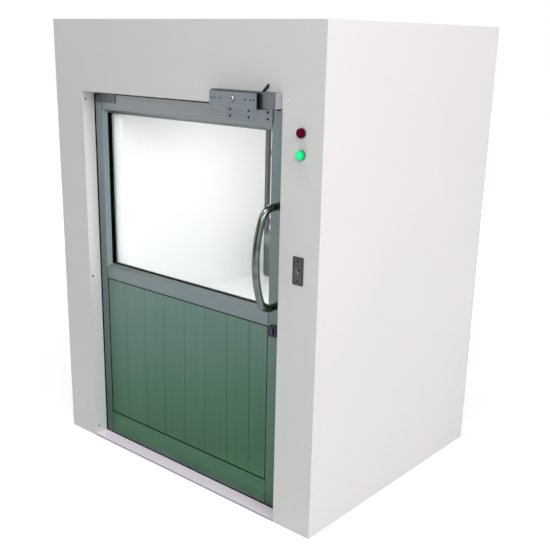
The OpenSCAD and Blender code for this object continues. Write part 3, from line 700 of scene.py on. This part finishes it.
def both_sides(name, shape, turns, bodies, finish):
    """The same copies on the front and, half a turn round, on the rear."""
    for side, whirl in SIDES:
        body = bodies.replace("SIDE", side)
        place_copies(f"{side}_{name}", shape, [whirl @ t for t in turns], body, finish)
    shape.free()
    print(name, len(turns), "on each side")


print("sides:", [side for side, whirl in SIDES])

# %% [markdown]
# ### Screws of the jamb
#
# Each jamb lining is held by three small black screws near its front edge.

# %% screws of the jamb
LINING = 0.0015
JAMB_SCREW_IN = 0.012
JAMB_SCREW_HEIGHTS = (1.2438, 0.6236, 0.0367)

reveal_low, reveal_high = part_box("front_reveal")
jamb_left, jamb_right = reveal_low[0] + LINING, reveal_high[0] - LINING
face_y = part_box("front_fascia")[0][1]
jamb_turns = [set_at((x, face_y + JAMB_SCREW_IN, z), (inwards, 0, 0))
              for x, inwards in ((jamb_left, 1), (jamb_right, -1)) for z in JAMB_SCREW_HEIGHTS]
both_sides("jamb_screws", screw_head(across=0.0065, height=0.0018), jamb_turns, "cabinet",
           screw_black)

# %% [markdown]
# ### Screws of the door
#
# The foot of the armature's bracket is screwed to the top rail by two rows of three,
# and the top pivot by three in a line, one of them at each end.

# %% screws of the door
FOOT_THICK = 0.003
FOOT_MIDDLE, FOOT_PITCH = 0.091, 0.073
FOOT_SCREW_HEIGHTS = (1.2506, 1.2315)
PIVOT_SCREWS_IN = (0.006, 0.05, 0.094)
PIVOT_SCREW_HEIGHT = 1.2475

leaf_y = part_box("front_top_rail")[0][1]
foot_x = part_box("front_armature_bracket")[0][0] + FOOT_MIDDLE
foot_turns = [set_at((foot_x + FOOT_PITCH * i, leaf_y - FOOT_THICK, z), (0, -1, 0))
              for i in (-1, 0, 1) for z in FOOT_SCREW_HEIGHTS]
both_sides("bracket_screws", screw_head(across=0.0065, height=0.0016), foot_turns, "SIDE_door",
           screw_black)

pivot_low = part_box("front_top_pivot")[0]
pivot_turns = [set_at((pivot_low[0] + x, pivot_low[1], PIVOT_SCREW_HEIGHT), (0, -1, 0))
               for x in PIVOT_SCREWS_IN]
both_sides("pivot_screws", screw_head(across=0.006, height=0.0014), pivot_turns, "SIDE_door",
           screw_zinc)

# %% [markdown]
# ### Screws of the release plate
#
# The plate is held by one screw above and one below its button.

# %% screws of the release plate
PLATE_SCREW_IN = 0.012
plate_low, plate_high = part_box("front_release_plate")
plate_x = (plate_low[0] + plate_high[0]) / 2
plate_turns = [set_at((plate_x, plate_low[1], z), (0, -1, 0))
               for z in (plate_low[2] + PLATE_SCREW_IN, plate_high[2] - PLATE_SCREW_IN)]
both_sides("plate_screws", screw_head(across=0.006, height=0.001), plate_turns, "cabinet",
           screw_black)

# %% [markdown]
# ### Underside of the magnet
#
# A black thumb screw closes the magnet's wiring cover from below, at its lock end.
# It is the same turned head without a socket.

# %% magnet cover screw
COVER_SCREW_IN = 0.0065
magnet_low, magnet_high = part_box("front_magnet")
cover_place = (magnet_high[0] - COVER_SCREW_IN, magnet_high[1] - COVER_SCREW_IN, magnet_low[2])
both_sides("magnet_cover_screw", screw_head(across=0.012, height=0.005, socket=0.0),
           [set_at(cover_place, (0, 0, -1))], "cabinet", screw_black)

# %% [markdown]
# ### Hole plug
#
# A small white plug closes a spare hole in the header, beside the magnet.

# %% hole plug
PLUG_X, PLUG_Z = 0.458, 1.291
both_sides("hole_plug", screw_head(across=0.007, height=0.0016, socket=0.0),
           [set_at((PLUG_X, face_y, PLUG_Z), (0, -1, 0))], "cabinet", chamber_coat)

# %% [markdown]
# ### Joints of the door frame
#
# Where a rail meets a stile, the two extrusions butt together, and the shade in the
# hairline shows as a dark line.  The butt joint of the solids is perfect and so
# invisible.  A thin dark bar whose edges are bevelled paints that shade back as a
# line on both faces of the door.

# %% joints of the door frame
JOINT_SHADE_WIDTH, JOINT_SHADE_PROUD = 0.0022, 0.0002
LIP = 0.0115  # a rail's box takes in its lips, which stand this far into the bays
# Dark colour of the joint lines: painted shade of the hairline gap.
joint_shade_finish = moulded("painted joint shade", "1E2A28", 0.55, 0.2)


def soft_bars(corners, soften):
    """Bars with bevelled edges, each given by its low and its high corner."""
    bars = bmesh.new()
    for low, high in corners:
        low, high = Vector(low), Vector(high)
        bmesh.ops.create_cube(bars, size=1.0, matrix=Matrix.Translation((low + high) / 2)
                              @ Matrix.Diagonal((*(high - low), 1)))
    bmesh.ops.bevel(bars, geom=bars.edges[:], offset=soften, segments=1, profile=0.5,
                    affect="EDGES", material=-1)
    return bars


rail_low, rail_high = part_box("front_top_rail")
mid_low, mid_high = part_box("front_mid_rail")
bottom_low, bottom_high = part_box("front_bottom_rail")
spans = ((rail_low[2] + LIP, rail_high[2]), (mid_low[2] + LIP, mid_high[2] - LIP),
         (bottom_low[2], bottom_high[2] - LIP))
joint_bars = [((x - JOINT_SHADE_WIDTH / 2, y - JOINT_SHADE_PROUD, from_z),
               (x + JOINT_SHADE_WIDTH / 2, y + JOINT_SHADE_PROUD, to_z))
              for x in (rail_low[0], rail_high[0]) for y in (rail_low[1], rail_high[1])
              for from_z, to_z in spans]
both_sides("frame_joints", soft_bars(joint_bars, JOINT_SHADE_PROUD * 0.5), AS_DRAWN, "SIDE_door",
           joint_shade_finish)

# %% [markdown]
# ### Painted shade in the gap around the slatted panel
#
# The panel sits in its bay with a gap all round, and the gap's shade shows as a dark
# line on the walls of the bay.  A thin film of black rubber on those walls paints that shade.

# %% painted shade in the gap around the slatted panel
PANEL_GAP = 0.004
STRIP = 0.0004
STRIP_FROM, STRIP_TO = 0.0004, 0.008  # how far behind the leaf's face it lies
panel_low, panel_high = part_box("front_slat_panel")
left, bottom = panel_low[0] - PANEL_GAP, panel_low[2] - PANEL_GAP
right_end, top_end = panel_high[0] + PANEL_GAP, panel_high[2] + PANEL_GAP
strips = [((x0, leaf_y + STRIP_FROM, z0), (x1, leaf_y + STRIP_TO, z1)) for x0, z0, x1, z1 in (
    (left, bottom, left + STRIP, top_end),
    (right_end - STRIP, bottom, right_end, top_end),
    (left + STRIP, bottom, right_end - STRIP, bottom + STRIP),
    (left + STRIP, top_end - STRIP, right_end - STRIP, top_end))]
# A black film on the walls of the bay: painted shade of the gap.
both_sides("bay_gap_shade", soft_bars(strips, STRIP * 0.25), AS_DRAWN, "SIDE_door",
           gasket_rubber)

# %% [markdown]
# ### Painted shade in the gap around the door
#
# The leaf leaves a few millimetres to the linings and to the sill, and the shade in
# that gap shows as a crisp dark line around the door.  A thin black film lies on the
# linings and the sill behind the leaf's face and paints that shade.  It is much
# thinner than the gap, so the door still swings free of it.

# %% painted shade in the gap around the door
SHADE_FILM = 0.0002
JAMB_FILM_FROM, JAMB_FILM_TO = -0.002, 0.040  # from the leaf's face backwards
SILL_FILM_FROM, SILL_FILM_TO, SILL_FILM_IN = -0.0015, 0.022, 0.001
# A black film on the linings and the sill: painted shade of the gap around the door.
gap_shade_film = moulded("painted door gap shade", "08080A", 0.7, 0.08)
sill_z, film_top = reveal_low[2], rail_high[2]
film_bars = [((x - SHADE_FILM, leaf_y + JAMB_FILM_FROM, sill_z),
              (x + SHADE_FILM, leaf_y + JAMB_FILM_TO, film_top)) for x in (jamb_left, jamb_right)]
film_bars.append(((jamb_left + SILL_FILM_IN, leaf_y + SILL_FILM_FROM, sill_z - SHADE_FILM),
                  (jamb_right - SILL_FILM_IN, leaf_y + SILL_FILM_TO, sill_z + SHADE_FILM)))
both_sides("door_gap_shade", soft_bars(film_bars, SHADE_FILM * 0.5), AS_DRAWN, "cabinet", gap_shade_film)

# %% [markdown]
# ### Frame line of the release plate
#
# The release plate has a fine raised line a few millimetres inside its edge.  It is
# made as a thin slab with rounded corners whose middle is deleted, so that only the
# border is left, and the border is then given its height by an extrude.

# %% frame line of the release plate
LINE_INSET, LINE_WIDTH, LINE_HEIGHT, LINE_CORNER = 0.0035, 0.0014, 0.0003, 0.002
plate_ink = moulded("dark plate line", "2B2B2C", 0.5, 0.2)


def border_line(width, height, corner, line, thick):
    """Rounded rectangular border on the XY plane, raised by thick."""
    border = bmesh.new()
    bmesh.ops.create_grid(border, x_segments=1, y_segments=1, size=0.5,
                          matrix=Matrix.Diagonal((width, height, 1, 1)))
    bmesh.ops.bevel(border, geom=border.verts[:], offset=corner, segments=5, profile=0.5,
                    affect="VERTICES", material=-1)
    bmesh.ops.inset_region(border, faces=border.faces[:], thickness=line,
                           use_boundary=True, use_even_offset=True)
    middle = min(border.faces, key=lambda face: face.calc_center_median().length)
    bmesh.ops.delete(border, geom=[middle], context="FACES_ONLY")
    raised = bmesh.ops.extrude_face_region(border, geom=border.faces[:])["geom"]
    bmesh.ops.translate(border, verts=[v for v in raised if isinstance(v, bmesh.types.BMVert)],
                        vec=(0, 0, thick))
    bmesh.ops.recalc_face_normals(border, faces=border.faces[:])
    return border


frame_line = border_line(plate_high[0] - plate_low[0] - 2 * LINE_INSET,
                         plate_high[2] - plate_low[2] - 2 * LINE_INSET,
                         LINE_CORNER, LINE_WIDTH, LINE_HEIGHT)
plate_middle = Matrix.Translation((plate_x, plate_low[1], (plate_low[2] + plate_high[2]) / 2))
upright = Matrix.Rotation(pi / 2, 4, "X")
both_sides("plate_line", frame_line, [plate_middle @ upright], "cabinet", plate_ink)

# %% [markdown]
# ## Studio floor
#
# The box stands on white paper.  More light would make the paper white, and would
# burn out the pale cabinet as well.  So the paper glows a little by itself, but only
# for the camera and for what glass and mirrors show, and costs the object no light.
# Near the box the lamps give the rest of its white, which is why a shadow still
# shows there, and further off the glow alone is white.

# %% studio floor
PAPER_GLOW_NEAR, NEAR, FAR = 0.68, 1.2, 4.5
FLOOR_REACH = 14.0
WHITE = (1, 1, 1, 1)


def seen_directly(tree):
    """1 for what is seen straight, through glass or in a mirror, and 0 for its light."""
    rays = tree.nodes.new("ShaderNodeLightPath")
    straight = work_out(tree, "MAXIMUM", rays.outputs["Is Camera Ray"],
                        rays.outputs["Is Transmission Ray"])
    return work_out(tree, "MAXIMUM", straight, rays.outputs["Is Glossy Ray"])


def studio_sheet(name, place, finish):
    """Flat sheet that reaches 1 m each way before place; not part of the object."""
    sheet = bmesh.new()
    bmesh.ops.create_grid(sheet, x_segments=1, y_segments=1, size=1.0, matrix=place)
    mesh = bpy.data.meshes.new(name)
    sheet.to_mesh(mesh)
    sheet.free()
    mesh.materials.append(finish)
    laid = bpy.data.objects.new(name, mesh)
    bpy.context.scene.collection.objects.link(laid)
    return laid


floor_finish, tree, shader, place = start_finish("studio floor", "E4E8E4", 0.6)
paper_glow = between(tree, distance(tree, place), PAPER_GLOW_NEAR, 1.0, NEAR, FAR)
paper = add_node(tree, "ShaderNodeEmission", Color=WHITE, Strength=paper_glow)
shade = add_node(tree, "ShaderNodeBsdfDiffuse", Color=linear("B4B4B4"))
lit_paper = add_node(tree, "ShaderNodeAddShader", _0=paper.outputs[0], _1=shade.outputs[0])
floor_mix = add_node(tree, "ShaderNodeMixShader", _0=seen_directly(tree), _1=shader.outputs[0],
                     _2=lit_paper.outputs[0])
tree.links.new(floor_mix.outputs[0], tree.nodes["Material Output"].inputs["Surface"])
floor = studio_sheet("studio_floor", Matrix.Diagonal((FLOOR_REACH, FLOOR_REACH, 1, 1)),
                     floor_finish)
print("floor:", floor.name, "reaches", FLOOR_REACH, "m each way")

# %% [markdown]
# ## Dark screen for reflections
#
# A bright tube that mirrors nothing but white looks like plaster.  A studio stands
# black card beside the lens for this, and here it is a dark screen behind the camera
# that only reflections see.  It draws the dark core along the polished handle.

# %% dark screen for reflections
SCREEN_PLACE = (0.1, -5.0, 1.6)
SCREEN_REACH = (1.7, 2.6)
screen_finish, tree, shader, place = start_finish("dark screen felt", "2A332C", 0.9)
felt = between(tree, speckle(tree, place, 40.0), 0.0, 1.0)
feed(shader, "Base Color", blend_colours(tree, felt, "2A332C", "20271F"))
dark_screen = studio_sheet("dark_screen", set_at(SCREEN_PLACE, (0, 1, 0))
                           @ Matrix.Diagonal((*SCREEN_REACH, 1, 1)), screen_finish)
for kind in ("camera", "diffuse", "shadow", "transmission"):
    setattr(dark_screen, f"visible_{kind}", False)
print("screen:", [2 * reach for reach in SCREEN_REACH], "m, seen by reflections alone")

# %% [markdown]
# ## White room
#
# The world is the room around the box.  A bright world would light everything from
# all sides and flatten it.  This one looks plain white, and gives the object only a
# weak, slightly cool fill.

# %% white room
ROOM_FILL = 0.15
room = bpy.data.worlds.new("white room")
bpy.context.scene.world = room
room.use_nodes = True
tree = room.node_tree
tree.nodes.clear()
white = add_node(tree, "ShaderNodeBackground", Color=WHITE, Strength=1.0)
fill = add_node(tree, "ShaderNodeBackground", Color=(0.97, 0.98, 1.0, 1), Strength=ROOM_FILL)
room_mix = add_node(tree, "ShaderNodeMixShader", _0=seen_directly(tree), _1=fill.outputs[0],
                    _2=white.outputs[0])
room_out = tree.nodes.new("ShaderNodeOutputWorld")
tree.links.new(room_mix.outputs[0], room_out.inputs["Surface"])
bpy.context.scene.view_settings.view_transform = "Standard"
print("room fill", ROOM_FILL)

# %% [markdown]
# ## Lamps
#
# The key light is a large panel on the right, which leaves the front in gentle
# shade.  A second panel fills the front, a third gives the rear door the same
# light, and a fourth hangs high above the front edge and brings out the sill.
# Their strengths were fitted to the light that each lamp gives by itself.

# %% lamps
def light_panel(name, place, target, size, watts):
    """Square soft light at a place, turned to a target."""
    lamp = bpy.data.lights.new(name, "AREA")
    lamp.shape = "SQUARE"
    lamp.size = size
    lamp.energy = watts
    holder = bpy.data.objects.new(name, lamp)
    aim = Vector(target) - Vector(place)
    holder.matrix_world = set_at(place, -aim.normalized())
    bpy.context.scene.collection.objects.link(holder)
    print(name, watts, "W at", [round(part, 2) for part in place])
    return holder


light_panel("key_panel", (4.4, -0.8, 3.7), (0.6, 0.0, 0.9), size=2.8, watts=125.0)
light_panel("front_panel", (2.7, -3.0, 3.0), (0.35, -0.4, 0.9), size=1.6, watts=47.0)
light_panel("rear_panel", (-3.2, 4.6, 3.0), (-0.2, 0.4, 0.8), size=2.5, watts=110.0)
light_panel("top_panel_light", (0.1, -1.1, 4.9), (0.1, -0.46, 0.0), size=1.4, watts=80.0)

# %% [markdown]
# ### Light behind the glass
#
# The frame of the chamber's opening stands a finger behind the glass.  In a real
# box the white walls throw so much light back and forth that it is as bright as the
# chamber.  Few of those paths are found here, so two lamps that shine on these two
# frames alone bring the level back.  Blender calls that light linking.

# %% light behind the glass
FRAME_LAMP, FRAME_AIM = Vector((1.9, -2.6, 1.7)), Vector((-0.3, -0.37, 0.95))
for side, whirl in SIDES:
    lit = bpy.data.collections.new(f"{side} frame behind the glass")
    lit.objects.link(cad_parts[f"{side}_bulkhead"])
    holder = light_panel(f"{side}_frame_light", whirl @ FRAME_LAMP, whirl @ FRAME_AIM,
                         size=1.0, watts=62.0)
    holder.light_linking.receiver_collection = lit
